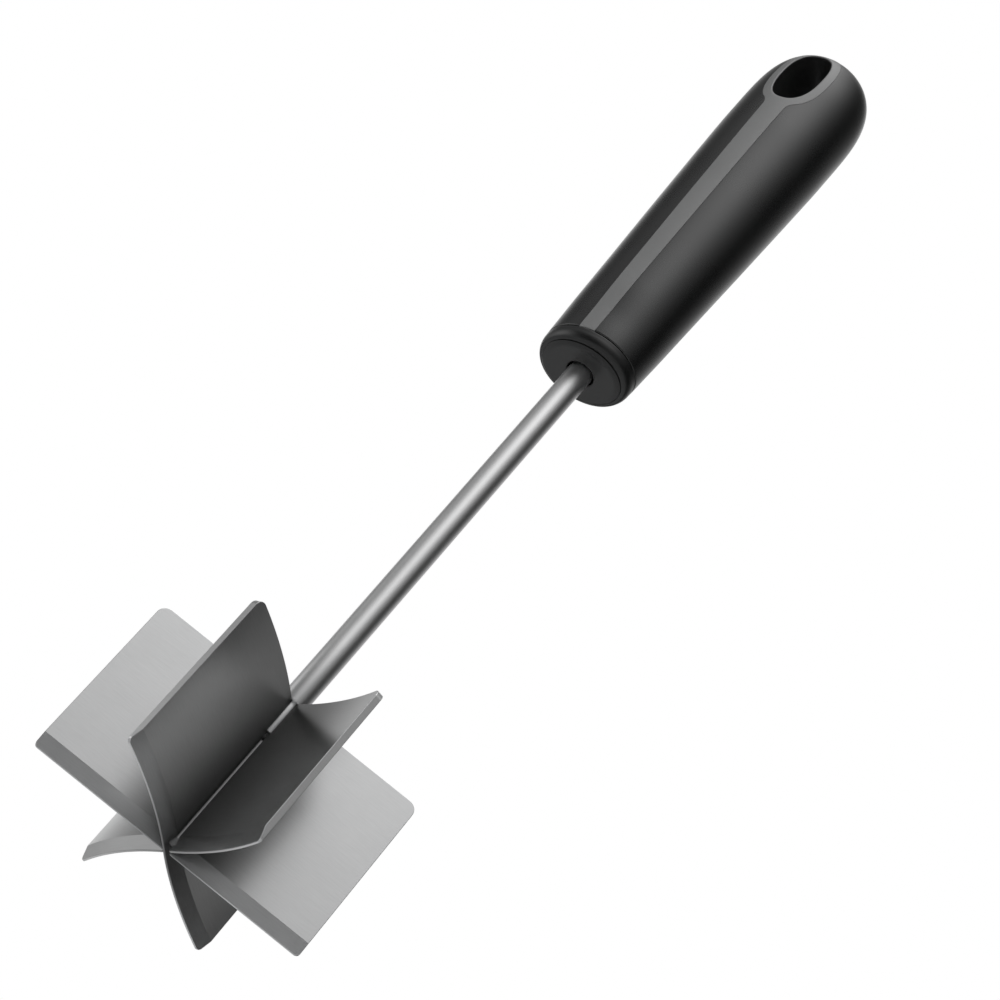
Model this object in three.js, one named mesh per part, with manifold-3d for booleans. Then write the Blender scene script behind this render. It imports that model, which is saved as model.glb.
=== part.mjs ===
// Hand-held chopper and masher: six upright blades on a steel rod, thick two-material handle.
// Millimetres, +Z up. Origin: centre of the cutting plane, on the axis of the rod.
// The tool stands on its blades, handle upward. -Y is the front of the handle.
import * as THREE from 'three';
import { mergeVertices } from 'three/addons/utils/BufferGeometryUtils.js';
import Module from 'manifold-3d';

// ---------------------------------------------------------------- driving dimensions
const HEAD_HEIGHT = 42;            // height of the blades
const FLAT_HALF_WIDTH = 33;        // flat plate, axis to tip
const CURVED_ARC = 31.6;           // curved plates, arc length from axis to tip
const CURVED_RADIUS = 95.8;        // bending radius of the curved plates
const CURVED_TIP = 31.45;          // tip radius of the curved plates
const PLATE = 1.5;                 // sheet thickness
const BEVEL_HEIGHT = 3.3;          // ground edge, one side
const EDGE_LAND = 0.5;             // flat left at the cutting edge
const CORNER = 2.2;                // rounding of the upper blade corners
const CORNER_LOW = 1.0;            // rounding of the lower blade corners
const FLAT_ANGLE = 27.9;           // degrees, flat plate
const FRONT_ROOT = -84.4;          // degrees, tangent of the front curved plate at the axis
const REAR_ROOT = -26.0;           // degrees, tangent of the rear curved plate at the axis
const BRIDGE_FRONT = 1.3;          // the front curved plate runs through below this height
const BRIDGE_REAR = 32.0;          // the rear curved plate runs through above this height
const SEAT = 33.1;                 // floor of the notch that holds the spigot
const GAP = 0.3;                   // clearance between neighbouring pieces

const ROD_R = 3.0;                 // 6 mm rod
const SPIGOT_R = 2.2;              // turned-down end in the notch of the plates
const ROD_TOP = 231;               // end of the tang inside the core

const NOSE = 155.0;                // lower face of the handle
const NOSE_ROUND = 3.3;            // rounding of the nose, axial
const CAP_TOP = 155.75;            // parting line nose cap / collar
const COLLAR_TOP = 159.2;          // parting line collar / grip
const DOME_START = 253.0;          // start of the rounded end
const TOTAL = 276.0;               // overall length
const SKIN = 2.4;                  // thickness of the soft sleeve
const BORE_R = 3.3;                // bore of the core round the rod
const EYE_Z = 260.6;               // centre of the hanging eye
const EYE_W = 5.05;                // half-width of the eye
const EYE_H = 10.5;                // half-height of the eye
const RING_W = 7.25;               // half-width of the eye's surround
const RING_H = 13.2;               // half-height of the eye's surround
const SPINE_LOW = 1.9;             // half-width of the spine at the nose
const SPINE_HIGH = 2.85;           // half-width of the spine at the eye

// half-width of the handle by height
const PROFILE = [
  [158.3, 11.50], [161.7, 11.68], [165.0, 11.81], [171.6, 12.08], [178.2, 12.29], [191.4, 12.72],
  [204.6, 13.18], [217.8, 13.60], [231.0, 14.00], [244.2, 14.33], [253.0, 14.40],
];

// ---------------------------------------------------------------- solids
const wasm = await Module();
wasm.setup();

function solid(geometry) {
  const g = geometry.clone();
  for (const name of Object.keys(g.attributes)) if (name !== 'position') g.deleteAttribute(name);
  const m = mergeVertices(g, 1e-4);
  return new wasm.Manifold(new wasm.Mesh({
    numProp: 3,
    vertProperties: new Float32Array(m.attributes.position.array),
    triVerts: new Uint32Array(m.index.array),
  }));
}

function geometryOf(body) {
  const mesh = body.getMesh();
  const g = new THREE.BufferGeometry();
  g.setAttribute('position', new THREE.BufferAttribute(new Float32Array(mesh.vertProperties), 3));
  g.setIndex(new THREE.BufferAttribute(new Uint32Array(mesh.triVerts), 1));
  g.computeVertexNormals();
  return g;
}

function box(sx, sy, sz, x = 0, y = 0, z = 0, angle = 0) {
  const g = new THREE.BoxGeometry(sx, sy, sz);
  g.rotateZ(THREE.MathUtils.degToRad(angle));
  g.translate(x, y, z);
  return solid(g);
}

// ---------------------------------------------------------------- blades
// Plan curve of a plate: two equal arcs, point-symmetric about the axis. radius = 0 is straight.
class PlateCurve extends THREE.Curve {
  constructor(angle, half, radius) {
    super();
    this.angle = THREE.MathUtils.degToRad(angle);
    this.half = half;
    this.radius = radius;
  }
  getPoint(t, target = new THREE.Vector3()) {
    const s = (2 * t - 1) * this.half;
    const side = Math.sign(s) || 1;
    const l = Math.abs(s);
    if (!this.radius) return target.set(s * Math.cos(this.angle), s * Math.sin(this.angle), 0);
    const turn = l / this.radius;
    const chord = 2 * this.radius * Math.sin(turn / 2);
    const bearing = this.angle - turn / 2;
    return target.set(side * chord * Math.cos(bearing), side * chord * Math.sin(bearing), 0);
  }
}

// Section of a plate with its single ground bevel. Shape x is minus height, shape y is the offset
// to the left of the plan curve. side = 1 grinds the left face, -1 the right face.
function plateSection(side) {
  const h = PLATE / 2;
  const pts = [
    [0, -h * side], [0, (-h + EDGE_LAND) * side], [-BEVEL_HEIGHT, h * side],
    [-HEAD_HEIGHT, h * side], [-HEAD_HEIGHT, -h * side],
  ];
  return new THREE.Shape(pts.map(([x, y]) => new THREE.Vector2(x, y)));
}

function roundedPanel(halfWidth, angle) {
  const r = CORNER, c = CORNER_LOW, w = halfWidth, h = HEAD_HEIGHT;
  const s = new THREE.Shape();
  s.moveTo(-w + c, 0);
  s.lineTo(w - c, 0);
  s.absarc(w - c, c, c, -Math.PI / 2, 0, false);
  s.lineTo(w, h - r);
  s.absarc(w - r, h - r, r, 0, Math.PI / 2, false);
  s.lineTo(-w + r, h);
  s.absarc(-w + r, h - r, r, Math.PI / 2, Math.PI, false);
  s.lineTo(-w, c);
  s.absarc(-w + c, c, c, Math.PI, Math.PI * 1.5, false);
  const g = new THREE.ExtrudeGeometry(s, { depth: 40, bevelEnabled: false, curveSegments: 4 });
  g.translate(0, 0, -20);
  g.rotateX(Math.PI / 2);
  g.rotateZ(THREE.MathUtils.degToRad(angle));
  return solid(g);
}

function plate(angle, half, radius, tipRadius, tipAngle, bevelSide) {
  const path = new PlateCurve(angle, half + 0.6, radius);
  path.arcLengthDivisions = 400;
  const g = new THREE.ExtrudeGeometry(plateSection(bevelSide), {
    steps: radius ? 20 : 2, extrudePath: path, bevelEnabled: false,
  });
  return solid(g).intersect(roundedPanel(tipRadius, tipAngle));
}

// Space that a crossing plate takes near the axis, up to the height where it is notched, with clearance.
function crossing(angle, low, high) {
  const a = THREE.MathUtils.degToRad(angle);
  const n = (low + high) / 2;
  return box(9, high - low + 2 * GAP, BRIDGE_FRONT + GAP + 1,
    -Math.sin(a) * n, Math.cos(a) * n, (BRIDGE_FRONT + GAP - 1) / 2, angle);
}

const curvedTip = THREE.MathUtils.radToDeg(CURVED_ARC / CURVED_RADIUS / 2);

const flatPlate = plate(FLAT_ANGLE, FLAT_HALF_WIDTH, 0, FLAT_HALF_WIDTH, FLAT_ANGLE, -1)
  .subtract(crossing(FRONT_ROOT, -PLATE / 2, PLATE / 2))
  .subtract(box(2 * (SPIGOT_R + GAP), 6, 20, 0, 0, BRIDGE_REAR - GAP + 10, FLAT_ANGLE));

const frontPlate = plate(FRONT_ROOT, CURVED_ARC, CURVED_RADIUS, CURVED_TIP, FRONT_ROOT - curvedTip, 1)
  .subtract(box(3.3, 6, 60, 0, 0, BRIDGE_FRONT + 30, FRONT_ROOT))
  .subtract(box(2 * (SPIGOT_R + GAP), 6, 20, 0, 0, SEAT + 10, FRONT_ROOT));

const rearPlate = plate(REAR_ROOT, CURVED_ARC, CURVED_RADIUS, CURVED_TIP, REAR_ROOT - curvedTip, -1)
  .subtract(crossing(FRONT_ROOT, -PLATE / 2, PLATE / 2))
  .subtract(crossing(FLAT_ANGLE, -0.25, PLATE / 2))
  .subtract(box(3.9, 6, BRIDGE_REAR - BRIDGE_FRONT, 0, 0, (BRIDGE_REAR + BRIDGE_FRONT) / 2, REAR_ROOT))
  .subtract(box(2 * (SPIGOT_R + GAP), 6, 20, 0, 0, SEAT + 10, REAR_ROOT));

// ---------------------------------------------------------------- rod
const rodProfile = [
  [0, SEAT + GAP], [SPIGOT_R - 0.3, SEAT + GAP], [SPIGOT_R, SEAT + GAP + 0.3],
  [SPIGOT_R, HEAD_HEIGHT + GAP], [ROD_R - 0.35, HEAD_HEIGHT + GAP], [ROD_R, HEAD_HEIGHT + GAP + 0.35],
  [ROD_R, ROD_TOP - 0.6], [ROD_R - 0.6, ROD_TOP], [0, ROD_TOP],
];
const rodLathe = new THREE.LatheGeometry(rodProfile.map(([r, z]) => new THREE.Vector2(r, z)), 28);
rodLathe.rotateX(Math.PI / 2);
// flattened tang with two waists, which the core grips
const rod = solid(rodLathe)
  .subtract(box(4, 12, 22, 4.1, 0, 217)).subtract(box(4, 12, 22, -4.1, 0, 217))
  .subtract(box(12, 3, 4, 0, 3.4, 214)).subtract(box(12, 3, 4, 0, -3.4, 214));

// ---------------------------------------------------------------- handle envelope
function halfWidth(z, skin = 0) {
  const p = PROFILE;
  const zz = Math.min(Math.max(z, p[0][0]), p[p.length - 1][0]);
  let w = p[p.length - 1][1];
  for (let i = 0; i < p.length - 1; i++) {
    if (zz <= p[i + 1][0]) {
      const t = (zz - p[i][0]) / (p[i + 1][0] - p[i][0]);
      w = p[i][1] + t * (p[i + 1][1] - p[i][1]);
      break;
    }
  }
  if (z > DOME_START) {
    const u = Math.min(1, (z - DOME_START) / (TOTAL - skin - DOME_START));
    w *= Math.pow(1 - Math.pow(u, 3.2), 1 / 3.2);
    return Math.max(0, w - skin * Math.pow(1 - Math.pow(u, 3.2), 1 / 3.2));
  }
  if (z < NOSE + NOSE_ROUND) {
    const u = Math.min(1, (NOSE + NOSE_ROUND - z) / NOSE_ROUND);
    w = 11.50 - 3.1 * (1 - Math.pow(1 - Math.pow(u, 2.2), 1 / 2.2));
  }
  return w - skin;
}

// ratio of depth to width, rounder toward the eye
function ratio(z) {
  const t = [[155, 0.87], [165, 0.87], [178, 0.905], [250, 0.93], [276, 0.93]];
  for (let i = 0; i < t.length - 1; i++) {
    if (z <= t[i + 1][0]) return t[i][1] + (t[i + 1][1] - t[i][1]) * Math.max(0, z - t[i][0]) / (t[i + 1][0] - t[i][0]);
  }
  return 0.93;
}

// oval loft: a lathe whose rings are drawn out to the oval of their height
function ovalLoft(profile, segments) {
  const g = new THREE.LatheGeometry(profile.map(([r, z]) => new THREE.Vector2(r, z)), segments);
  g.rotateX(Math.PI / 2);
  const p = g.attributes.position;
  for (let i = 0; i < p.count; i++) {
    const q = ratio(p.getZ(i));
    const k = 1 / Math.sqrt(0.7192 + 0.2808 * q * q);
    p.setX(i, p.getX(i) * k);
    p.setY(i, p.getY(i) * k * q);
  }
  return solid(g);
}

function bodyProfile(skin, low, high) {
  const out = [];
  const top = high ?? TOTAL - skin;
  const zs = [];
  if (low < NOSE + NOSE_ROUND) for (const u of [1, 0.9, 0.72, 0.48, 0.22]) zs.push(NOSE + NOSE_ROUND * (1 - u));
  for (const [z] of PROFILE) if (z > low + 0.5) zs.push(z);
  for (const a of [16, 30, 42, 53, 62, 70, 77, 83, 90]) {
    const z = DOME_START + (TOTAL - skin - DOME_START) * Math.sin(THREE.MathUtils.degToRad(a));
    if (z < top - 0.2) zs.push(z);
  }
  if (low >= NOSE + NOSE_ROUND) zs.unshift(low);
  out.push([0, zs[0]]);
  for (const z of zs) out.push([Math.max(halfWidth(z, skin), 0.001), z]);
  out.push([0, top]);
  return out;
}

const envelope = () => ovalLoft(bodyProfile(0, NOSE), 40);
const inner = (skin, low) => ovalLoft(bodyProfile(skin, low), 32);

function slab(z0, z1, w = 60) { return box(w, w, z1 - z0, 0, 0, (z0 + z1) / 2); }

// prism through the handle along Y, from an outline in X and Z
function prismY(points) {
  const s = new THREE.Shape(points.map(([x, z]) => new THREE.Vector2(x, z)));
  const g = new THREE.ExtrudeGeometry(s, { depth: 60, bevelEnabled: false });
  g.translate(0, 0, -30);
  g.rotateX(Math.PI / 2);
  return solid(g);
}

function superEllipse(w, h, z0, n, count) {
  const pts = [];
  for (let i = 0; i < count; i++) {
    const t = (i / count) * Math.PI * 2;
    const c = Math.cos(t), s = Math.sin(t);
    pts.push([Math.sign(c) * Math.pow(Math.abs(c), 2 / n) * w, z0 + Math.sign(s) * Math.pow(Math.abs(s), 2 / n) * h]);
  }
  return pts;
}

function spineRegion(grow) {
  const bar = prismY([
    [-SPINE_LOW - grow, 150], [SPINE_LOW + grow, 150],
    [SPINE_HIGH + grow, EYE_Z - 6], [-SPINE_HIGH - grow, EYE_Z - 6],
  ]);
  return bar.add(prismY(superEllipse(RING_W + grow, RING_H + grow, EYE_Z, 2.35, 32)));
}

const eye = prismY(superEllipse(EYE_W, EYE_H, EYE_Z, 2.35, 28));

// ---------------------------------------------------------------- handle pieces
const boreCutter = (() => {
  const g = new THREE.CylinderGeometry(BORE_R, BORE_R, ROD_TOP + GAP - 150, 24);
  g.rotateX(Math.PI / 2);
  g.translate(0, 0, (ROD_TOP + GAP + 150) / 2);
  return solid(g);
})();

const CORE_LOW = COLLAR_TOP + GAP;
const PLUG_R = 6.6;
const PLUG_TOP = 164;
const plugCutter = (() => {
  const g = new THREE.CylinderGeometry(PLUG_R + GAP, PLUG_R + GAP, PLUG_TOP + GAP - 150, 28);
  g.rotateX(Math.PI / 2);
  g.translate(0, 0, (PLUG_TOP + GAP + 150) / 2);
  return solid(g);
})();

const core = inner(SKIN, CORE_LOW)
  .add(envelope().intersect(spineRegion(0)).intersect(slab(CORE_LOW, 290)))
  .subtract(eye).subtract(boreCutter).subtract(plugCutter);

// one soft sleeve: split by the spine at the front and back, joined over the end
const grip = envelope()
  .intersect(slab(CORE_LOW, 290))
  .subtract(inner(SKIN - GAP, CORE_LOW - 2))
  .subtract(spineRegion(GAP));

const plug = (r, z0, z1, n = 28) => {
  const g = new THREE.CylinderGeometry(r, r, z1 - z0, n);
  g.rotateX(Math.PI / 2);
  g.translate(0, 0, (z0 + z1) / 2);
  return solid(g);
};

const noseCap = envelope().intersect(slab(150, CAP_TOP))
  .add(plug(PLUG_R, NOSE + 0.3, PLUG_TOP))
  .subtract(plug(3.45, 150, 170, 24));

const collar = envelope().intersect(slab(CAP_TOP + GAP, COLLAR_TOP))
  .subtract(plug(PLUG_R + GAP, 150, 170));

// ---------------------------------------------------------------- scene graph
const part = new THREE.Group();

function node(name, body, color, roughness, metalness) {
  const mesh = new THREE.Mesh(geometryOf(body), new THREE.MeshStandardMaterial({ color, roughness, metalness }));
  mesh.name = name;
  part.add(mesh);
}

node('flat_blade_plate', flatPlate, 0xb9bab6, 0.32, 1.0);
node('curved_blade_plate_front', frontPlate, 0xb4b6b4, 0.32, 1.0);
node('curved_blade_plate_rear', rearPlate, 0xb4b6b4, 0.32, 1.0);
node('shaft_rod', rod, 0xc2c4c2, 0.25, 1.0);
node('nose_cap', noseCap, 0x2b2d2d, 0.5, 0.0);
node('collar_ring', collar, 0x2a2c2c, 0.5, 0.0);
node('handle_core', core, 0x393b3b, 0.45, 0.0);
node('soft_grip', grip, 0x1f2121, 0.6, 0.0);

export default part;
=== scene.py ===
import bpy, bmesh, math
import numpy as np
from mathutils import Matrix, Vector


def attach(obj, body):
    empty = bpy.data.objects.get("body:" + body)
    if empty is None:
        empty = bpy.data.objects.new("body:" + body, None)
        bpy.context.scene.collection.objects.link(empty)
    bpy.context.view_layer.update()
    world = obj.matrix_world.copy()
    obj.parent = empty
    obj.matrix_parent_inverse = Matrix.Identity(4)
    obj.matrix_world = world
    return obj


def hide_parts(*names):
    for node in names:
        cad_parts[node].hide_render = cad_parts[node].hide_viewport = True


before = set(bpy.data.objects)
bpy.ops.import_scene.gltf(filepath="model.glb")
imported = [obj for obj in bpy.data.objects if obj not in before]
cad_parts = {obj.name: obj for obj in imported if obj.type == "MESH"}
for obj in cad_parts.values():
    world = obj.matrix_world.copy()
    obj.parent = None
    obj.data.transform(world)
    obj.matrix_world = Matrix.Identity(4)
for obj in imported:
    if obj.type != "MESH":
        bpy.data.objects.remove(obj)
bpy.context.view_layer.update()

MM = 0.001

# ------------------------------------------------------------------ camera
cam_data = bpy.data.cameras.new("camera")
cam_data.lens = 105.52
cam_data.sensor_width = 36.0
cam_data.clip_start = 0.01
cam = bpy.data.objects.new("camera", cam_data)
bpy.context.scene.collection.objects.link(cam)
bpy.context.scene.camera = cam
cam.matrix_world = Matrix((
    (0.84152, -0.32236, 0.43351, 0.27918),
    (0.08335, -0.71538, -0.69375, -0.43756),
    (0.53376, 0.61994, -0.57513, -0.25025),
    (0.0, 0.0, 0.0, 1.0)))

# ------------------------------------------------------------------ dimensions, millimetres
HEAD_H = 42.0
T = 1.5
FLAT_A = 27.9
FRONT_A = -84.4
REAR_A = -26.0
BEND_R = 95.8
ROD_R = 3.0
SPIGOT_R = 2.2
NOSE, NOSE_ROUND = 155.0, 3.3
CAP_TOP = 155.75
COLLAR_TOP = 159.2
DOME0, TOTAL = 253.0, 276.0
EYE_Z, EYE_W, EYE_H = 260.6, 5.05, 10.5
RING_W, RING_H, RING_N = 7.25, 13.2, 2.35


def pchip(pts):
    x = np.array([p[0] for p in pts], float)
    y = np.array([p[1] for p in pts], float)
    h = np.diff(x)
    s = np.diff(y) / h
    d = np.zeros(len(x))
    for i in range(1, len(x) - 1):
        if s[i - 1] * s[i] > 0:
            w1, w2 = 2 * h[i] + h[i - 1], h[i] + 2 * h[i - 1]
            d[i] = (w1 + w2) / (w1 / s[i - 1] + w2 / s[i])
    d[0], d[-1] = s[0], s[-1]

    def f(v):
        v = np.clip(np.asarray(v, float), x[0], x[-1])
        i = np.clip(np.searchsorted(x, v) - 1, 0, len(h) - 1)
        t = (v - x[i]) / h[i]
        return ((1 + 2 * t) * (1 - t) ** 2 * y[i] + t * (1 - t) ** 2 * h[i] * d[i]
                + t * t * (3 - 2 * t) * y[i + 1] + t * t * (t - 1) * h[i] * d[i + 1])
    return f


body_w = pchip([(158.3, 11.50), (161.7, 11.68), (165.0, 11.81), (171.6, 12.08), (178.2, 12.29), (191.4, 12.72),
                (204.6, 13.18), (217.8, 13.60), (231.0, 14.00), (244.2, 14.33), (253.0, 14.40)])
ratio = pchip([(155, 0.87), (165, 0.87), (178, 0.905), (250, 0.93), (276, 0.93)])


def half_width(z, skin=0.0):
    z = np.asarray(z, float)
    w = body_w(z)
    u = np.clip((z - DOME0) / (TOTAL - skin - DOME0), 0, 1)
    f = (1 - u ** 3.2) ** (1 / 3.2)
    up = (w - skin) * f
    u = np.clip((NOSE + NOSE_ROUND - z) / NOSE_ROUND, 0, 1)
    lo = 11.50 - 3.1 * (1 - (1 - u ** 2.2) ** (1 / 2.2)) - skin
    return np.where(z < NOSE + NOSE_ROUND, lo, up)


def axes(z, skin=0.0):
    q = ratio(z)
    k = 1 / np.sqrt(0.7192 + 0.2808 * q * q)
    w = half_width(z, skin)
    return w * k, w * k * q


def front_y(x, z):
    a, b = axes(z)
    return -b * np.sqrt(np.maximum(1 - (x / np.maximum(a, 1e-9)) ** 2, 0))


def surf_normal(x, y, z):
    a, b = axes(z)
    a1, b1 = axes(z + 0.02)
    a0, b0 = axes(z - 0.02)
    da, db = (a1 - a0) / 0.04, (b1 - b0) / 0.04
    n = np.stack([x / a ** 2, y / b ** 2, -(x * x * da / a ** 3 + y * y * db / b ** 3)], -1)
    return n / np.linalg.norm(n, axis=-1, keepdims=True)


# ------------------------------------------------------------------ materials
def nodes_of(name):
    m = bpy.data.materials.new(name)
    m.use_nodes = True
    nt = m.node_tree
    return m, nt, nt.nodes["Principled BSDF"]


def add(nt, kind, **props):
    n = nt.nodes.new(kind)
    for k, v in props.items():
        setattr(n, k, v)
    return n


def noise(nt, coord, scale, detail=3.0, rough=0.5, stretch=None, distort=0.0):
    src = coord
    if stretch:
        mp = add(nt, "ShaderNodeMapping")
        mp.inputs["Scale"].default_value = stretch
        nt.links.new(coord, mp.inputs["Vector"])
        src = mp.outputs["Vector"]
    n = add(nt, "ShaderNodeTexNoise")
    n.inputs["Scale"].default_value = scale
    n.inputs["Detail"].default_value = detail
    n.inputs["Roughness"].default_value = rough
    n.inputs["Distortion"].default_value = distort
    nt.links.new(src, n.inputs["Vector"])
    return n.outputs["Fac"]


def remap(nt, value, a, b, lo, hi, smooth=False):
    r = add(nt, "ShaderNodeMapRange")
    if smooth:
        r.interpolation_type = "SMOOTHSTEP"
    nt.links.new(value, r.inputs["Value"])
    r.inputs["From Min"].default_value = a
    r.inputs["From Max"].default_value = b
    r.inputs["To Min"].default_value = lo
    r.inputs["To Max"].default_value = hi
    return r.outputs["Result"]


def math_node(nt, op, a, b):
    m = add(nt, "ShaderNodeMath", operation=op)
    for i, v in enumerate((a, b)):
        if isinstance(v, (int, float)):
            m.inputs[i].default_value = v
        else:
            nt.links.new(v, m.inputs[i])
    return m.outputs[0]


def colour_mix(nt, fac, c1, c2):
    m = add(nt, "ShaderNodeMix", data_type="RGBA")
    nt.links.new(fac, m.inputs[0])
    m.inputs[6].default_value = (*c1, 1)
    m.inputs[7].default_value = (*c2, 1)
    return m.outputs[2]


def bump(nt, height, strength, distance):
    b = add(nt, "ShaderNodeBump")
    b.inputs["Strength"].default_value = strength
    b.inputs["Distance"].default_value = distance
    nt.links.new(height, b.inputs["Height"])
    return b.outputs["Normal"]


def steel(name, dark, light, rough, grain, grain_scale, rough_var=0.02, bump_s=0.012, painted_axis_shade_and_light=None):
    """Satin stainless steel: fine drawn grain, soft cloudy variation of finish, faint handling marks; optionally
    painted shade towards the axis and painted light further out.
    """
    m, nt, p = nodes_of(name)
    obj = add(nt, "ShaderNodeTexCoord").outputs["Object"]
    fine = noise(nt, obj, grain_scale, 4.0, 0.55, grain)
    cloud = noise(nt, obj, 95.0, 4.0, 0.55)
    marks = noise(nt, obj, 420.0, 6.0, 0.65, (1.0, 1.0, 0.35), 0.6)
    mixv = math_node(nt, "ADD", math_node(nt, "MULTIPLY", fine, 0.6), math_node(nt, "MULTIPLY", cloud, 0.4))
    col = colour_mix(nt, remap(nt, mixv, 0.35, 0.65, 0, 1), dark, light)
    if painted_axis_shade_and_light:
        # painted shade and light: the base colour is darkened towards the axis where the plates meet and brightened
        # above its own value further out
        near, far, low, high = painted_axis_shade_and_light
        mp = add(nt, "ShaderNodeMapping")
        mp.inputs["Scale"].default_value = (1, 1, 0)
        nt.links.new(obj, mp.inputs["Vector"])
        ln = add(nt, "ShaderNodeVectorMath", operation="LENGTH")
        nt.links.new(mp.outputs["Vector"], ln.inputs[0])
        k = remap(nt, ln.outputs["Value"], near, far, low, high, True)
        sc = add(nt, "ShaderNodeVectorMath", operation="SCALE")
        nt.links.new(col, sc.inputs[0])
        nt.links.new(k, sc.inputs["Scale"])
        col = sc.outputs["Vector"]
    nt.links.new(col, p.inputs["Base Color"])
    r = math_node(nt, "ADD", remap(nt, cloud, 0.3, 0.7, rough - rough_var, rough + rough_var),
                  remap(nt, marks, 0.3, 0.8, -0.004, 0.004))
    r = math_node(nt, "ADD", r, remap(nt, fine, 0.3, 0.7, -0.012, 0.012))
    nt.links.new(r, p.inputs["Roughness"])
    p.inputs["Metallic"].default_value = 1.0
    nt.links.new(bump(nt, fine, bump_s, 0.00006), p.inputs["Normal"])
    return m


def plastic(name, dark, light, rough, grain_scale, bump_s, spec=0.5, eye=False):
    """Moulded black plastic or rubber: spark-eroded fine texture, slight cloudiness of gloss."""
    m, nt, p = nodes_of(name)
    obj = add(nt, "ShaderNodeTexCoord").outputs["Object"]
    g = noise(nt, obj, grain_scale, 3.0, 0.6)
    cloud = noise(nt, obj, 60.0, 4.0, 0.5)
    dust = noise(nt, obj, 1300.0, 2.0, 0.5)
    col = colour_mix(nt, remap(nt, math_node(nt, "ADD", math_node(nt, "MULTIPLY", cloud, 0.7),
                     math_node(nt, "MULTIPLY", dust, 0.3)), 0.35, 0.65, 0, 1), dark, light)
    if eye:
        # painted light and shade: the black core is painted lighter grey on its faces, and the wall of the eye is
        # darkened back to near black as shade inside the hole
        sp = add(nt, "ShaderNodeSeparateXYZ")
        nt.links.new(obj, sp.inputs[0])
        ex = math_node(nt, "DIVIDE", math_node(nt, "ABSOLUTE", sp.outputs[0], 0.0), EYE_W * MM)
        ez = math_node(nt, "DIVIDE", math_node(nt, "ABSOLUTE", math_node(nt, "SUBTRACT", sp.outputs[2], EYE_Z * MM), 0.0),
                       EYE_H * MM)
        e = math_node(nt, "ADD", math_node(nt, "POWER", ex, RING_N), math_node(nt, "POWER", ez, RING_N))
        sc = add(nt, "ShaderNodeVectorMath", operation="SCALE")
        nt.links.new(col, sc.inputs[0])
        nt.links.new(remap(nt, e, 1.0, 1.1, 0.08, 1.0, True), sc.inputs["Scale"])
        col = sc.outputs["Vector"]
    nt.links.new(col, p.inputs["Base Color"])
    nt.links.new(math_node(nt, "ADD", remap(nt, cloud, 0.3, 0.7, rough - 0.03, rough + 0.03),
                           remap(nt, g, 0.3, 0.7, -0.02, 0.02)), p.inputs["Roughness"])
    p.inputs["Specular IOR Level"].default_value = spec
    nt.links.new(bump(nt, g, bump_s, 0.00005), p.inputs["Normal"])
    return m


# the three plates are one steel; their different base colours are painted light and shade for how brightly each plate
# is lit: the front plate painted darker, the flat plate lighter
mat_flat = steel("blade_steel_flat", (0.604, 0.607, 0.609), (0.654, 0.657, 0.659), 0.30, (0.3, 0.3, 5.0), 900.0, 0.012, 0.006, painted_axis_shade_and_light=(0.001, 0.018, 0.42, 1.06))
mat_front = steel("blade_steel_front", (0.497, 0.499, 0.499), (0.541, 0.543, 0.543), 0.32, (0.3, 0.3, 5.0), 900.0, 0.012, 0.006, painted_axis_shade_and_light=(0.001, 0.028, 0.40, 1.30))
mat_rear = steel("blade_steel_rear", (0.582, 0.585, 0.585), (0.630, 0.633, 0.633), 0.30, (0.3, 0.3, 5.0), 900.0, 0.012, 0.006, painted_axis_shade_and_light=(0.001, 0.028, 0.60, 1.12))
mat_rod = steel("rod_steel_drawn", (0.735, 0.737, 0.737), (0.755, 0.757, 0.757), 0.37, (3.0, 3.0, 0.3), 1100.0, 0.01, 0.006)
mat_grip = plastic("soft_grip_black", (0.0045, 0.005, 0.005), (0.006, 0.0066, 0.0066), 0.29, 5200.0, 0.02, 0.95)
# the core is the same black plastic as the cap; its grey base colour is painted light for faces that catch the light
mat_core = plastic("core_black_satin", (0.245, 0.247, 0.247), (0.268, 0.270, 0.270), 0.36, 4200.0, 0.02, 0.9, True)
mat_cap = plastic("cap_black_satin", (0.007, 0.0074, 0.0074), (0.0095, 0.0099, 0.0099), 0.34, 4200.0, 0.02, 0.62)


# ------------------------------------------------------------------ mesh helpers
def finish_piece(ob, mat, replaced, angle=32.0):
    me = ob.data
    me.materials.clear()
    me.materials.append(mat)
    for p in me.polygons:
        p.use_smooth = True
    me.set_sharp_from_angle(angle=math.radians(angle))
    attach(ob, "root")
    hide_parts(*replaced)
    return ob


def object_from_bm(name, bm):
    me = bpy.data.meshes.new(name)
    bm.to_mesh(me)
    bm.free()
    ob = bpy.data.objects.new(name, me)
    bpy.context.scene.collection.objects.link(ob)
    return ob


class Builder:
    """Collects vertices in millimetres and faces, then welds."""
    def __init__(self):
        self.v, self.f, self.n = [], [], 0

    def grid(self, g, flip=False, close=False):
        g = np.asarray(g, float)
        r, c = g.shape[:2]
        base = self.n
        self.v.append(g.reshape(-1, 3))
        self.n += r * c
        cols = c if close else c - 1
        for i in range(r - 1):
            for j in range(cols):
                k = (j + 1) % c
                q = (base + i * c + j, base + i * c + k, base + (i + 1) * c + k, base + (i + 1) * c + j)
                self.f.append(q[::-1] if flip else q)

    def mesh(self, weld=0.0005):
        bm = bmesh.new()
        v = np.vstack(self.v) * MM
        vs = [bm.verts.new(p) for p in v]
        for f in self.f:
            try:
                bm.faces.new([vs[i] for i in f])
            except ValueError:
                pass
        bmesh.ops.remove_doubles(bm, verts=bm.verts, dist=weld * MM)
        bmesh.ops.dissolve_degenerate(bm, dist=1e-8, edges=bm.edges)
        bmesh.ops.recalc_face_normals(bm, faces=bm.faces)
        return bm


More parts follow.
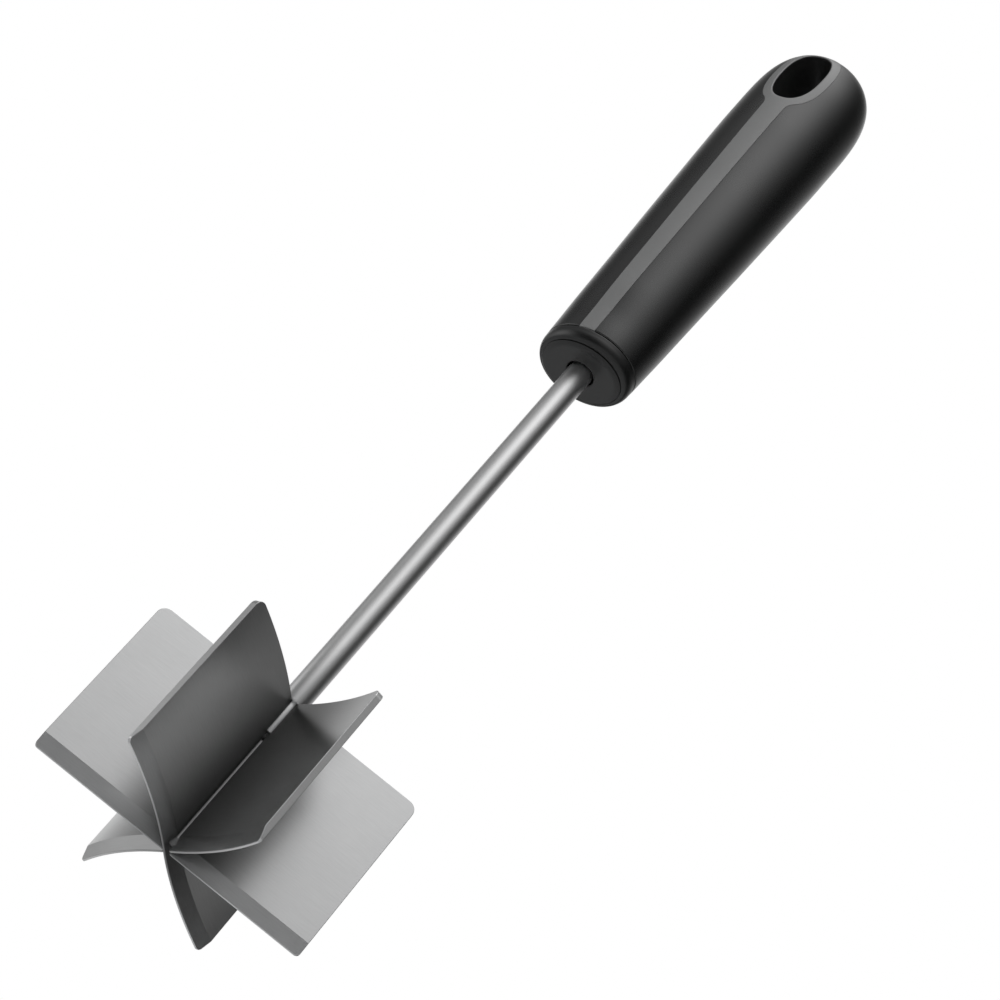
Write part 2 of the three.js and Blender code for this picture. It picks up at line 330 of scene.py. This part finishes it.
def boolean(ob, other, op, own=False, unit=1000.0):
    for o in (ob, other):
        o.data.transform(Matrix.Scale(unit, 4))
    m = ob.modifiers.new("b", "BOOLEAN")
    m.operation = op
    m.solver = "EXACT"
    m.use_self = own
    m.object = other
    bpy.context.view_layer.update()
    dg = bpy.context.evaluated_depsgraph_get()
    me = bpy.data.meshes.new_from_object(ob.evaluated_get(dg))
    me.transform(Matrix.Scale(1 / unit, 4))
    ob.modifiers.clear()
    old = ob.data
    ob.data = me
    bpy.data.meshes.remove(old)
    gone = other.data
    bpy.data.objects.remove(other)
    bpy.data.meshes.remove(gone)


def revolve(name, profile, seg=96):
    """profile: closed loop of (r, z) off the axis, or from axis to axis."""
    b = Builder()
    t = np.linspace(0, 2 * np.pi, seg, endpoint=False)
    g = np.array([[[r * np.cos(a), r * np.sin(a), z] for a in t] for r, z in profile])
    b.grid(g, close=True)
    bm = b.mesh()
    return object_from_bm(name, bm)


def cutter_box(sx, sy, sz, x, y, z, angle=0.0):
    bm = bmesh.new()
    bmesh.ops.create_cube(bm, size=1.0)
    bm.transform(Matrix.Translation((x * MM, y * MM, z * MM)) @ Matrix.Rotation(math.radians(angle), 4, "Z")
                 @ Matrix.Diagonal((sx * MM, sy * MM, sz * MM, 1)))
    return object_from_bm("cut", bm)


# ------------------------------------------------------------------ blades
def plan(a0, radius, s):
    """position and left normal on the plan curve at arc length s"""
    a0 = math.radians(a0)
    if not radius:
        return s * math.cos(a0), s * math.sin(a0), -math.sin(a0), math.cos(a0)
    t = abs(s) / radius
    ch = 2 * radius * math.sin(t / 2) * (1 if s >= 0 else -1)
    b = a0 - t / 2
    tg = a0 - t
    return ch * math.cos(b), ch * math.sin(b), -math.sin(tg), math.cos(tg)


def arc(cx, cz, r, a0, a1, n):
    return [(cx + r * math.cos(math.radians(a0 + (a1 - a0) * i / n)), cz + r * math.sin(math.radians(a0 + (a1 - a0) * i / n)))
            for i in range(n + 1)]


def blade_outline(half, low, high):
    """low: (half-width, height) of the notch from below or None. high: list of (half-width, floor) from above."""
    r = 2.2
    pts = []
    if low:
        w, h = low
        q = 0.25
        pts += [(-w, 0.0)] + arc(-w + q, h - q, q, 180, 90, 3) + arc(w - q, h - q, q, 90, 0, 3) + [(w, 0.0)]
    c = 1.0
    pts += arc(half - c, c, c, -90, 0, 8)
    pts += arc(half - r, HEAD_H - r, r, 0, 90, 10)
    prev = HEAD_H
    right = []
    for w, fl in high:
        right += [(w, prev), (w, fl)]
        prev = fl
    pts += right + [(-x, z) for x, z in reversed(right)]
    pts += arc(-half + r, HEAD_H - r, r, 90, 180, 10)
    pts += arc(-half + c, c, c, 180, 270, 8)
    out = []
    for p in pts:
        if not out or math.hypot(p[0] - out[-1][0], p[1] - out[-1][1]) > 0.01:
            out.append(p)
    return out


def blade(name, a0, radius, half, low, high, side, mat, crossing=(), step=1.1):
    bm = bmesh.new()
    pts = blade_outline(half, low, high)
    front = [bm.verts.new((x, -T / 2, z)) for x, z in pts]
    f = bm.faces.new(front)
    r = bmesh.ops.extrude_face_region(bm, geom=[f])
    vs = [g for g in r["geom"] if isinstance(g, bmesh.types.BMVert)]
    bmesh.ops.translate(bm, verts=vs, vec=(0, T, 0))
    bmesh.ops.recalc_face_normals(bm, faces=bm.faces)
    # ground bevel: plane through the land's edge at z = 0 and the face at z = 3.3
    land = (-T / 2 + 0.5) * side
    face = T / 2 * side
    d = Vector((0, face - land, 3.3))
    nrm = Vector((0, 3.3 * side, -abs(face - land)))
    nrm.normalize()
    cut = bmesh.ops.bisect_plane(bm, geom=bm.verts[:] + bm.edges[:] + bm.faces[:], plane_co=(0, land, 0), plane_no=nrm,
                                 clear_outer=True, dist=1e-6)
    edges = [g for g in cut["geom_cut"] if isinstance(g, bmesh.types.BMEdge)]
    bmesh.ops.holes_fill(bm, edges=edges, sides=0)
    bmesh.ops.recalc_face_normals(bm, faces=bm.faces)
    # clearance for the crossing plates in the low zone
    if crossing:
        body = object_from_bm("blade", bm)
        for turn, n0, n1, top in crossing:
            cb = bmesh.new()
            bmesh.ops.create_cube(cb, size=1.0)
            if top < 0:         # the slot for the plates that cross higher up
                cb.transform(Matrix.Translation((0, 0, (32.0 + 1.3) / 2)) @ Matrix.Diagonal((3.84, 6, 32.0 - 1.3, 1)))
                boolean(body, object_from_bm("cut", cb), "DIFFERENCE", False, 1.0)
                continue
            cb.transform(Matrix.Rotation(math.radians(turn), 4, "Z") @ Matrix.Translation((0, (n0 + n1) / 2, (top - 1) / 2))
                         @ Matrix.Diagonal((9, n1 - n0, top + 1, 1)))
            boolean(body, object_from_bm("cut", cb), "DIFFERENCE", False, 1.0)
        bm = bmesh.new()
        bm.from_mesh(body.data)
        old = body.data
        bpy.data.objects.remove(body)
        bpy.data.meshes.remove(old)
        bmesh.ops.remove_doubles(bm, verts=bm.verts, dist=1e-4)
        bmesh.ops.dissolve_limit(bm, angle_limit=math.radians(0.5), verts=bm.verts, edges=bm.edges)
        bmesh.ops.recalc_face_normals(bm, faces=bm.faces)
    # broken edges
    sharp = [e for e in bm.edges if e.is_manifold and e.calc_face_angle(0) > math.radians(20)]
    bmesh.ops.bevel(bm, geom=sharp, offset=0.09, offset_type="OFFSET", segments=2, profile=0.5, affect="EDGES",
                    clamp_overlap=True)
    if radius:
        s = -half + step
        while s < half:
            bmesh.ops.bisect_plane(bm, geom=bm.verts[:] + bm.edges[:] + bm.faces[:], plane_co=(s, 0, 0),
                                   plane_no=(1, 0, 0), dist=1e-6)
            s += step
    for v in bm.verts:
        x, y, nx, ny = plan(a0, radius, v.co.x)
        n = v.co.y
        v.co = Vector(((x + nx * n) * MM, (y + ny * n) * MM, v.co.z * MM))
    bmesh.ops.recalc_face_normals(bm, faces=bm.faces)
    ob = object_from_bm(name, bm)
    finish_piece(ob, mat, [name.replace("steel_", "")], 9.0)
    w = ob.modifiers.new("wn", "WEIGHTED_NORMAL")
    w.keep_sharp = True
    return ob


CLEAR = 0.14
LOW_CUT = 1.5
blade("steel_flat_blade_plate", FLAT_A, 0, 33.0, None, [(2.35, 31.75)], -1, mat_flat,
      [(FRONT_A - FLAT_A, -T / 2 - CLEAR, T / 2 + CLEAR, LOW_CUT)])
blade("steel_curved_blade_plate_front", FRONT_A, BEND_R, 31.48, None, [(2.35, 33.1), (1.6, 1.3)], 1, mat_front)
blade("steel_curved_blade_plate_rear", REAR_A, BEND_R, 31.48, None, [(2.35, 33.1)], -1, mat_rear,
      [(FRONT_A - REAR_A, -T / 2 - CLEAR, T / 2 + CLEAR, LOW_CUT), (FLAT_A - REAR_A, -0.25 - CLEAR, T / 2 + CLEAR, LOW_CUT),
       (0.0, -3.0, 3.0, -1.0)])

# ------------------------------------------------------------------ rod
q = 0.3
rod = revolve("steel_shaft_rod", [
    (0, 33.35), (SPIGOT_R - 0.25, 33.35), (SPIGOT_R - 0.07, 33.42), (SPIGOT_R, 33.6), (SPIGOT_R, 42.08),
    (ROD_R - q, 42.08), (ROD_R - q * 0.62, 42.08 + q * 0.08), (ROD_R - q * 0.29, 42.08 + q * 0.29),
    (ROD_R - q * 0.08, 42.08 + q * 0.62), (ROD_R, 42.08 + q), (ROD_R, 60), (ROD_R, 90), (ROD_R, 120), (ROD_R, 150),
    (ROD_R, 190), (ROD_R, 230.4), (ROD_R - 0.6, 231), (0, 231)], 96)
boolean(rod, cutter_box(4, 12, 22, 4.1, 0, 217), "DIFFERENCE")
boolean(rod, cutter_box(4, 12, 22, -4.1, 0, 217), "DIFFERENCE")
boolean(rod, cutter_box(12, 3, 4, 0, 3.4, 214), "DIFFERENCE")
boolean(rod, cutter_box(12, 3, 4, 0, -3.4, 214), "DIFFERENCE")
finish_piece(rod, mat_rod, ["shaft_rod"], 30.0)

# ------------------------------------------------------------------ seam between core and sleeve
SEAM0 = COLLAR_TOP + 0.22


def spine_w(z):
    return 1.9 + (2.85 - 1.9) * (np.asarray(z, float) - 150.0) / (EYE_Z - 6 - 150.0)


def ring_z(x):
    return EYE_Z - RING_H * (1 - (abs(x) / RING_W) ** RING_N) ** (1 / RING_N)


def super_r(al, w, h, n=RING_N):
    return ((abs(np.cos(al)) / w) ** n + (abs(np.sin(al)) / h) ** n) ** (-1 / n)


XB = 4.7
ZB = float(ring_z(XB))
xc = 2.8
for _ in range(20):
    xc = float(spine_w(ring_z(xc)))
ZC = float(ring_z(xc))
ZA = ZC - 1.9
XA = float(spine_w(ZA))
ALB = math.atan2(ZB - EYE_Z, XB)


def fillet(t):
    t = np.asarray(t, float)
    x = (1 - t) ** 2 * XA + 2 * t * (1 - t) * xc + t * t * XB
    z = (1 - t) ** 2 * ZA + 2 * t * (1 - t) * ZC + t * t * ZB
    return x, z


_z = np.linspace(150, ZA, 500)
_t = np.linspace(0, 1, 60)
_a = np.linspace(ALB, math.pi / 2, 500)
_fx, _fz = fillet(_t)
seam_poly = np.vstack([np.c_[spine_w(_z), _z], np.c_[_fx, _fz][1:],
                       np.c_[super_r(_a, RING_W, RING_H) * np.cos(_a), EYE_Z + super_r(_a, RING_W, RING_H) * np.sin(_a)][1:]])


def seam_distance(x, z):
    p = np.stack([np.abs(x).ravel(), z.ravel()], -1)
    a, b = seam_poly[:-1], seam_poly[1:]
    ab = b - a
    best = np.full(len(p), 1e9)
    for k in range(0, len(p), 4000):
        q_ = p[k:k + 4000, None, :] - a[None]
        t = np.clip((q_ * ab[None]).sum(-1) / np.maximum((ab ** 2).sum(-1), 1e-12)[None], 0, 1)
        d = np.linalg.norm(q_ - t[..., None] * ab[None], axis=-1)
        best[k:k + 4000] = d.min(1)
    return best.reshape(x.shape)


def roll(d, r):
    """how far a rounded edge of radius r has dropped at distance d from the edge"""
    d = np.clip(d, 0, r)
    return r - np.sqrt(np.maximum(r * r - (r - d) ** 2, 0))


# ------------------------------------------------------------------ soft sleeve
def silhouette(al):
    """radius from the eye's centre to the outline in the XZ plane, along direction al"""
    lo, hi = 3.0, 60.0
    for _ in range(60):
        m = (lo + hi) / 2
        z = EYE_Z + m * math.sin(al)
        inside = z < TOTAL and m * math.cos(al) < float(axes(min(z, TOTAL))[0])
        lo, hi = (m, hi) if inside else (lo, m)
    return lo


def sleeve_rows():
    rows = []
    low = [SEAM0 + d for d in (0, 0.04, 0.1, 0.18, 0.28, 0.45, 0.7, 1.1, 1.7, 2.5)]
    zs = low + list(np.linspace(low[-1], ZA, 58)[1:])
    for z in zs:
        rows.append(((float(spine_w(z)), z), (float(axes(z)[0]), z)))
    # seam from ZA along fillet and ring up to al = -20 deg
    al1 = math.radians(-18)
    fx, fz = fillet(np.linspace(0, 1, 7)[1:])
    part = list(zip(fx, fz))
    for al in np.linspace(ALB, al1, 13)[1:]:
        r = float(super_r(al, RING_W, RING_H))
        part.append((r * math.cos(al), EYE_Z + r * math.sin(al)))
    e1 = EYE_Z + silhouette(al1) * math.sin(al1)
    pl = np.array([(XA, ZA)] + part)
    s = np.r_[0, np.cumsum(np.linalg.norm(np.diff(pl, axis=0), axis=1))]
    s /= s[-1]
    for (x, z), u in zip(part, s[1:]):
        ez = ZA + (e1 - ZA) * u
        rows.append(((x, z), (float(axes(ez)[0]), ez)))
    for al in np.radians(np.linspace(-18, 90, 40)[1:]):
        r = float(super_r(al, RING_W, RING_H))
        o = silhouette(al)
        x = r * math.cos(al) if al < math.pi / 2 - 1e-6 else 0.0
        ex = o * math.cos(al) if al < math.pi / 2 - 1e-6 else 0.0
        rows.append(((x, EYE_Z + r * math.sin(al)), (ex, EYE_Z + o * math.sin(al))))
    return rows


def sleeve_grid():
    near = [0, 0.03, 0.07, 0.12, 0.19, 0.28, 0.42, 0.65, 1.0]
    n = 24
    G = []
    for (xf, zf), (xe, ze) in sleeve_rows():
        tau = np.linspace(0, 1, 500)
        w = np.sin(tau * math.pi / 2)
        x, z = xf + (xe - xf) * w, zf + (ze - zf) * w
        y = front_y(x, z)
        y[-1] = 0.0
        P = np.stack([x, y, z], -1)
        s = np.r_[0, np.cumsum(np.linalg.norm(np.diff(P, axis=0), axis=1))]
        L = s[-1]
        want = near + list(np.linspace(near[-1], L, n + 1)[1:])
        if L < 4:
            want = [v * L / 4 for v in near] + list(np.linspace(near[-1] * L / 4, L, n + 1)[1:])
        row = np.stack([np.interp(want, s, P[:, k]) for k in range(3)], -1)
        row[:-1, 1] = front_y(row[:-1, 0], row[:-1, 2])
        row[-1] = (xe, 0.0, ze)
        back = row[:-1][::-1] * np.array([1, -1, 1])
        G.append(np.vstack([row, back]))
    return np.array(G)


def grid_normals(G):
    dj = np.gradient(G, axis=1)
    di = np.gradient(G, axis=0)
    n = np.cross(dj, di)
    n /= np.maximum(np.linalg.norm(n, axis=-1, keepdims=True), 1e-12)
    return n


G = sleeve_grid()
N = grid_normals(G)
if (N[20, N.shape[1] // 2, 0]) < 0:
    N = -N
N[-1, :, 0] = 0
N[-1] /= np.linalg.norm(N[-1], axis=-1, keepdims=True)
ds = seam_distance(G[..., 0], G[..., 2])
drop = roll(ds, 0.08)
drop = np.maximum(drop, roll(G[..., 2] - SEAM0, 0.28))
shift = np.zeros_like(G)
outer = G - N * drop[..., None]
# step back from the seam for a parting gap
inner = G - N * 1.75
b = Builder()
for sx in (1, -1):
    m = np.array([sx, 1, 1])
    flip = sx < 0
    b.grid(outer * m, flip)
    b.grid(inner * m, not flip)
    b.grid(np.stack([outer[0], inner[0]]) * m, flip)
    b.grid(np.stack([outer[:, 0], inner[:, 0]]) * m, not flip)
    b.grid(np.stack([outer[:, -1], inner[:, -1]]) * m, flip)
grip = object_from_bm("rubber_soft_grip", b.mesh())
finish_piece(grip, mat_grip, ["soft_grip"], 40.0)

# ------------------------------------------------------------------ core: spine, eye surround, eye wall
PROUD = 0.05
EDGE_R = 0.08
RIM_R = 0.55
frac_near = [0, 0.02, 0.045, 0.08, 0.13, 0.2, 0.32]
fr = [-1 + v for v in frac_near] + list(np.linspace(-0.68, 0.68, 9)[1:-1]) + [1 - v for v in reversed(frac_near)]
fr = np.array(fr)
GAPC = 0.07                         # set-back of the core from the seam line; core_drop multiplies it by zero, so the core is not set back

al_attach = []
for f_ in fr:
    x = XB * f_
    al_attach.append(math.atan2(float(ring_z(x)) - EYE_Z, x))
al_attach = np.array(al_attach)
al_attach = np.where(al_attach > 0, al_attach - 2 * math.pi, al_attach)
n_free = 110
al_free = np.linspace(ALB, 2 * math.pi + al_attach[0], n_free + 1)[1:-1]
AL = np.concatenate([al_attach, al_free])


def lift(x, z, extra_drop):
    """front surface point for the core, proud of the sleeve and dropped by extra_drop"""
    return np.stack([x, front_y(x, z) - PROUD + extra_drop, z], -1)


def core_drop(x, z):
    d = seam_distance(x, z) - GAPC * 0
    return roll(d, EDGE_R)


rad_hole = super_r(AL, EYE_W, EYE_H)
rad_ring = super_r(AL, RING_W, RING_H)
near_in = [0, 0.03, 0.08, 0.15, 0.25, 0.38, 0.55]
near_out = [0.32, 0.2, 0.12, 0.07, 0.03, 0.0]
R_ = []
for d in near_in:
    R_.append(rad_hole + d)
for k in range(1, 4):
    R_.append(rad_hole + 0.55 + (rad_ring - 0.32 - rad_hole - 0.55) * k / 4)
for d in near_out:
    R_.append(rad_ring - d)
R_ = np.array(R_)                                # radial x angle
X = R_ * np.cos(AL)[None]
Z = EYE_Z + R_ * np.sin(AL)[None]
hole_d = (R_ - rad_hole[None])
drop = core_drop(X, Z)
drop = np.maximum(drop, roll(hole_d, RIM_R))
ann = lift(X, Z, drop)
# keep the rim on the wall line
ann[0, :, 0], ann[0, :, 2] = X[0], Z[0]

rows_z = [SEAM0 + d for d in (0, 0.05, 0.12, 0.2, 0.3, 0.5)] + list(np.linspace(SEAM0 + 1.2, ZA, 60))
stripe = []
for z in rows_z:
    x = fr * float(spine_w(z))
    stripe.append(np.stack([x, np.full_like(x, z)], -1))
arc_x = XB * fr
arc_z = np.array([float(ring_z(v)) for v in arc_x])
for t in np.linspace(0, 1, 9)[1:]:
    sx_, sz_ = fillet(t)
    stripe.append(np.stack([sx_ * fr, sz_ + (arc_z - ZB) * t], -1))
stripe = np.array(stripe)
SX, SZ = stripe[..., 0], stripe[..., 1]
sdrop = core_drop(SX, SZ)
sdrop = np.maximum(sdrop, roll(SZ - SEAM0, 0.2))
SP = lift(SX, SZ, sdrop)

DEPTH = 1.9
mirror = np.array([1, -1, 1])
b = Builder()
for sgn in (1, -1):
    m = np.array([1, sgn, 1])
    b.grid(ann * m, sgn < 0, close=True)
    b.grid(SP * m, sgn < 0)
    # hidden under-surface, seam walls
    under_s = SP + np.array([0, DEPTH, 0])
    b.grid(under_s * m, sgn > 0)
    b.grid(np.stack([SP[:, 0], under_s[:, 0]]) * m)
    b.grid(np.stack([SP[:, -1], under_s[:, -1]]) * m)
    b.grid(np.stack([SP[0], under_s[0]]) * m)
    ro = np.stack([ann[-1], ann[-1] + np.array([0, DEPTH, 0])])
    nat = len(al_attach)
    b.grid(np.concatenate([ro[:, nat - 1:], ro[:, :1]], axis=1) * m)
    r_out = rad_hole + 1.35
    xo, zo = r_out * np.cos(AL), EYE_Z + r_out * np.sin(AL)
    yo = front_y(xo, zo) + DEPTH
    ring_in = np.stack([xo, yo, zo], -1)
    b.grid(np.stack([ann[-1] + np.array([0, DEPTH, 0]), ring_in]) * m, close=True)
    mid = ring_in.copy()
    mid[:, 1] = 0
    b.grid(np.stack([ring_in, mid]) * m, close=True)
    ys = np.linspace(1, 0, 9)
    wall = []
    for t in ys:
        k = 1 - 0.035 * (1 - t * t)
        wall.append(np.stack([ann[0][:, 0] * k, ann[0][:, 1] * t, EYE_Z + (ann[0][:, 2] - EYE_Z) * k], -1))
    b.grid(np.array(wall) * m, close=True)
core = object_from_bm("plastic_handle_core", b.mesh())


def loft(name, zs, skin, seg=72):
    b = Builder()
    t = np.linspace(0, 2 * np.pi, seg, endpoint=False)
    rows = [np.stack([0 * t, 0 * t, 0 * t + zs[0]], -1)]
    for z in zs:
        a_, b_ = axes(z, skin)
        rows.append(np.stack([a_ * np.cos(t), b_ * np.sin(t), 0 * t + z], -1))
    rows.append(np.stack([0 * t, 0 * t, 0 * t + TOTAL - skin], -1))
    b.grid(np.array(rows), close=True)
    return object_from_bm(name, b.mesh())


def prism_y(outline, depth=60.0):
    bm = bmesh.new()
    vs = [bm.verts.new((x * MM, -depth / 2 * MM, z * MM)) for x, z in outline]
    f = bm.faces.new(vs)
    r = bmesh.ops.extrude_face_region(bm, geom=[f])
    bmesh.ops.translate(bm, verts=[g for g in r["geom"] if isinstance(g, bmesh.types.BMVert)], vec=(0, depth * MM, 0))
    bmesh.ops.recalc_face_normals(bm, faces=bm.faces)
    return object_from_bm("cut", bm)


core_z = [SEAM0 + 0.06] + list(np.linspace(165, 253, 14)) + [253 + 20.8 * math.sin(math.radians(a)) for a in (15, 30, 45, 58, 70, 80, 87)]
blank = loft("core_blank", core_z, 2.05)
tt = np.linspace(0, 2 * np.pi, 60, endpoint=False)
rr = super_r(tt, EYE_W, EYE_H) + 0.7
boolean(blank, prism_y(list(zip(rr * np.cos(tt), EYE_Z + rr * np.sin(tt)))), "DIFFERENCE")
bore = revolve("cut", [(0, 140), (3.06, 140), (3.06, 231.2), (0, 231.2)], 48)
boolean(blank, bore, "DIFFERENCE")
pocket = revolve("cut", [(0, 140), (6.7, 140), (6.7, 164.1), (0, 164.1)], 48)
boolean(blank, pocket, "DIFFERENCE")
boolean(core, blank, "UNION")
finish_piece(core, mat_core, ["handle_core"], 40.0)

# ------------------------------------------------------------------ nose cap and collar
def oval(z, t, inset=0.0):
    a_, b_ = axes(z)
    return (a_ - inset) * np.cos(t), (b_ - inset) * np.sin(t)


SEG = 160
th = np.linspace(0, 2 * np.pi, SEG, endpoint=False)


def ring_at(z, inset=0.0):
    x, y = oval(z, th, inset)
    return np.stack([x, y, 0 * th + z], -1)


def circle(r, z):
    return np.stack([r * np.cos(th), r * np.sin(th), 0 * th + z], -1)


def cap_piece():
    hole = 3.42
    rows = [circle(hole, 163.6), circle(hole, 155.5)]
    for a in (0, 30, 60, 90):
        rows.append(circle(hole + 0.4 * (1 - math.cos(math.radians(a))), NOSE + 0.45 - 0.4 * math.sin(math.radians(a))))
    # the end face is slightly domed
    x1, y1 = oval(NOSE + 1e-3, th, 0.25)
    for k in (0.1, 0.25, 0.4, 0.55, 0.7, 0.82, 0.92):
        x = (hole + 0.4) * np.cos(th) * (1 - k) + x1 * k
        y = (hole + 0.4) * np.sin(th) * (1 - k) + y1 * k
        rows.append(np.stack([x, y, 0 * th + NOSE + 0.05 * math.cos(k * math.pi / 2)], -1))
    for z in (155.004, 155.03, 155.08, 155.16, 155.27, 155.4):
        rows.append(ring_at(z, 0.25))
    for a in (0, 30, 60, 90):
        rows.append(ring_at(155.42 + 0.2 * math.sin(math.radians(a)), 0.27 + 0.3 * (1 - math.cos(math.radians(a)))))
    rows.append(circle(6.55, 155.62))
    for z in (158, 161, 163.2):
        rows.append(circle(6.55, z))
    rows.append(circle(6.15, 163.6))
    rows.append(rows[0])
    b = Builder()
    b.grid(np.array(rows), close=True)
    return object_from_bm("plastic_nose_cap", b.mesh(0.002))


def collar_piece():
    rows = []
    low = CAP_TOP + 0.02
    rl = 0.34
    for a in (0, 22, 45, 67, 90):
        rows.append(ring_at(low + rl * (1 - math.cos(math.radians(a))), rl * (1 - math.sin(math.radians(a)))))
    top = COLLAR_TOP - 0.16
    for z in np.linspace(low + rl, top, 22)[1:-1]:
        rows.append(ring_at(float(z)))
    for a in (0, 30, 60, 90):
        rows.append(ring_at(top + 0.16 * math.sin(math.radians(a)), 0.16 * (1 - math.cos(math.radians(a)))))
    rows.append(circle(6.75, COLLAR_TOP))
    rows.append(circle(6.75, low))
    rows.append(rows[0])
    b = Builder()
    b.grid(np.array(rows), close=True)
    return object_from_bm("plastic_collar_ring", b.mesh(0.002))


finish_piece(cap_piece(), mat_cap, ["nose_cap"], 40.0)
finish_piece(collar_piece(), mat_cap, ["collar_ring"], 40.0)

# ------------------------------------------------------------------ floor, world, light
bm = bmesh.new()
bmesh.ops.create_grid(bm, x_segments=8, y_segments=8, size=3.0)
bm.transform(Matrix.Translation((0, 0, -0.45)))
floor = object_from_bm("studio_floor", bm)
m, nt, p = nodes_of("floor_pale")
fobj = add(nt, "ShaderNodeTexCoord").outputs["Object"]
nt.links.new(colour_mix(nt, noise(nt, fobj, 6.0, 3.0), (0.70, 0.705, 0.71), (0.74, 0.745, 0.75)), p.inputs["Base Color"])
p.inputs["Roughness"].default_value = 0.85
floor.data.materials.append(m)

world = bpy.data.worlds.new("studio")
bpy.context.scene.world = world
world.use_nodes = True
wt = world.node_tree
for n in list(wt.nodes):
    wt.nodes.remove(n)


def direction(az, el):
    a_, e_ = math.radians(az), math.radians(el)
    return (math.cos(e_) * math.cos(a_), math.cos(e_) * math.sin(a_), math.sin(e_))


wdir = wt.nodes.new("ShaderNodeTexCoord").outputs["Generated"]
SHARP = 22.0
LEVEL = 0.80
LOBES = [
    # azimuth, elevation, strength: soft boxes of one width
    (180, 6, 0.70), (-150, 6, 2.05), (-60, 6, 0.15), (-30, 6, 0.19),
    (45, 30, 0.10), (67, 30, 0.33), (90, 30, 0.60), (135, 30, 1.68), (157, 30, 0.14), (-157, 30, 0.04),
    (-67, 30, 0.60), (-45, 30, 0.10), (-22, 30, 0.17),
    (42, 52, 0.06), (108, 52, 1.05), (140, 52, 0.07), (-153, 52, 0.14), (-120, 52, 0.74), (-88, 52, 2.13),
    (-55, 52, 1.36), (-22, 52, 0.07), (-144, 75, 1.56), (-72, 75, 0.52),
]
acc = None
for az, el, strength in LOBES:
    dn = wt.nodes.new("ShaderNodeVectorMath")
    dn.operation = "DOT_PRODUCT"
    wt.links.new(wdir, dn.inputs[0])
    dn.inputs[1].default_value = direction(az, el)
    v = math_node(wt, "SUBTRACT", dn.outputs["Value"], 1.0)
    v = math_node(wt, "EXPONENT", math_node(wt, "MULTIPLY", v, SHARP), 0.0)
    v = math_node(wt, "MULTIPLY", v, strength * LEVEL)
    acc = v if acc is None else math_node(wt, "ADD", acc, v)
bg = wt.nodes.new("ShaderNodeBackground")
bg.inputs["Color"].default_value = (1, 1, 1, 1)
wt.links.new(acc, bg.inputs["Strength"])
bgc = wt.nodes.new("ShaderNodeBackground")
bgc.inputs["Color"].default_value = (1, 1, 1, 1)
bgc.inputs["Strength"].default_value = 1.0
lp = wt.nodes.new("ShaderNodeLightPath")
mx = wt.nodes.new("ShaderNodeMixShader")
wt.links.new(lp.outputs["Is Camera Ray"], mx.inputs[0])
wt.links.new(bg.outputs[0], mx.inputs[1])
wt.links.new(bgc.outputs[0], mx.inputs[2])
wo = wt.nodes.new("ShaderNodeOutputWorld")
wt.links.new(mx.outputs[0], wo.inputs["Surface"])



def soft_box(name, az, el, dist, size, radiance, target=(0, 0, 0.02)):
    d = bpy.data.lights.new(name, "AREA")
    d.shape = "DISK"
    d.size = size
    d.energy = radiance * math.pi * math.pi * size * size / 4
    o = bpy.data.objects.new(name, d)
    bpy.context.scene.collection.objects.link(o)
    v = Vector(direction(az, el))
    o.location = Vector(target) + v * dist
    o.rotation_euler = v.to_track_quat("Z", "Y").to_euler()
    return o


soft_box("low_back_light", 122, -35, 0.38, 0.17, 0.2)

bpy.context.scene.view_settings.view_transform = "Standard"
bpy.context.scene.view_settings.look = "None"
